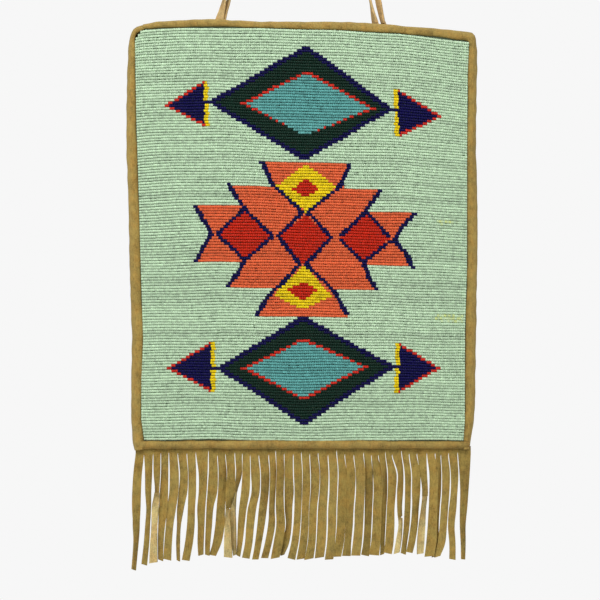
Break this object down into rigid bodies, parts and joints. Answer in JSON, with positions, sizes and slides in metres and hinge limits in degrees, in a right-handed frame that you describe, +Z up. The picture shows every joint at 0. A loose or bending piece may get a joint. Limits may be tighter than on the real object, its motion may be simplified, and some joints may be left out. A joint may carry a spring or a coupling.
{
  "type": "flat beaded bag",
  "caption": "Flat handbag with a bowed bead-covered front, flat back, open mouth, bound edges, two thong handles that swing over and a cut fringe along its foot.",
  "frame": {"origin": "the point where the two thong handles hang over their peg", "axes": "+Z up, +X to the right of the beaded front, +Y towards the back"},
  "size_m": [0.2456, 0.0144, 0.6017],
  "materials": {
    "smoked_hide": "smoked hide, napped",
    "fringe_hide": "smoked hide, napped, a little darker",
    "pale_hide": "pale hide thong",
    "canvas": "plain woven canvas",
    "lining": "plain woven cotton",
    "mint": "opaque glass seed beads",
    "navy": "opaque glass seed beads",
    "green": "dark glass seed beads",
    "red_line": "glass seed beads",
    "turquoise": "opaque glass seed beads",
    "yellow": "opaque glass seed beads",
    "orange": "glass seed beads",
    "deep_red": "glass seed beads"
  },
  "bodies": {
    "back": {"back_panel": "smoked_hide", "back_lining": "lining", "back_mouth_binding": "smoked_hide", "left_binding": "smoked_hide", "right_binding": "smoked_hide", "bottom_binding": "smoked_hide", "left_seam_core": "canvas", "right_seam_core": "canvas", "bottom_seam_core": "canvas", "fringe_tab": "fringe_hide", "back_left_tail": "pale_hide", "back_right_tail": "pale_hide"},
    "front": {"front_canvas": "canvas", "front_lining": "lining", "front_mouth_binding": "smoked_hide", "front_left_tail": "pale_hide", "front_right_tail": "pale_hide", "bead_ground": "mint", "top_diamond_navy": "navy", "bottom_diamond_navy": "navy", "star_lines": "navy", "top_left_arrow_navy": "navy", "top_right_arrow_navy": "navy", "bottom_left_arrow_navy": "navy", "bottom_right_arrow_navy": "navy", "top_diamond_green": "green", "bottom_diamond_green": "green", "top_diamond_red_line": "red_line", "bottom_diamond_red_line": "red_line", "top_left_arrow_edging": "red_line", "top_right_arrow_edging": "red_line", "bottom_left_arrow_edging": "red_line", "bottom_right_arrow_edging": "red_line", "top_diamond_turquoise": "turquoise", "bottom_diamond_turquoise": "turquoise", "star_upper_yellow": "yellow", "star_lower_yellow": "yellow", "top_left_arrow_bar": "yellow", "top_right_arrow_bar": "yellow", "bottom_left_arrow_bar": "yellow", "bottom_right_arrow_bar": "yellow", "star_orange": "orange", "star_left_red": "deep_red", "star_centre_red": "deep_red", "star_right_red": "deep_red", "star_upper_heart": "deep_red", "star_lower_heart": "deep_red"},
    "front_handle": {"front_handle": "pale_hide"},
    "back_handle": {"back_handle": "pale_hide"},
    "fringe_bundle_1": {"fringe_bundle_1": "fringe_hide"},
    "fringe_bundle_2": {"fringe_bundle_2": "fringe_hide"},
    "fringe_bundle_3": {"fringe_bundle_3": "fringe_hide"},
    "fringe_bundle_4": {"fringe_bundle_4": "fringe_hide"},
    "fringe_bundle_5": {"fringe_bundle_5": "fringe_hide"}
  },
  "joints": [
    {"name": "mouth_open", "type": "hinge", "parent": "back", "child": "front", "pos_m": [0, 0.0004, -0.5096], "axis": [1, 0, 0], "range_deg": [0, 8], "stiffness_Nm_per_rad": 2, "springref_deg": -2.86},
    {"name": "front_handle_swing", "type": "hinge", "parent": "front", "child": "front_handle", "pos_m": [0, -0.00392, -0.217], "axis": [1, 0, 0], "range_deg": [0, 165]},
    {"name": "back_handle_swing", "type": "hinge", "parent": "back", "child": "back_handle", "pos_m": [0, 0.00495, -0.217], "axis": [-1, 0, 0], "range_deg": [0, 165]},
    {"name": "fringe_swing_1", "type": "hinge", "parent": "back", "child": "fringe_bundle_1", "pos_m": [0, 0.0031, -0.5164], "axis": [-1, 0, 0], "range_deg": [-88, 88]},
    {"name": "fringe_swing_2", "type": "hinge", "parent": "back", "child": "fringe_bundle_2", "pos_m": [0, 0.0031, -0.5164], "axis": [-1, 0, 0], "range_deg": [-88, 88]},
    {"name": "fringe_swing_3", "type": "hinge", "parent": "back", "child": "fringe_bundle_3", "pos_m": [0, 0.0031, -0.5164], "axis": [-1, 0, 0], "range_deg": [-88, 88]},
    {"name": "fringe_swing_4", "type": "hinge", "parent": "back", "child": "fringe_bundle_4", "pos_m": [0, 0.0031, -0.5164], "axis": [-1, 0, 0], "range_deg": [-88, 88]},
    {"name": "fringe_swing_5", "type": "hinge", "parent": "back", "child": "fringe_bundle_5", "pos_m": [0, 0.0031, -0.5164], "axis": [-1, 0, 0], "range_deg": [-88, 88]}
  ]
}
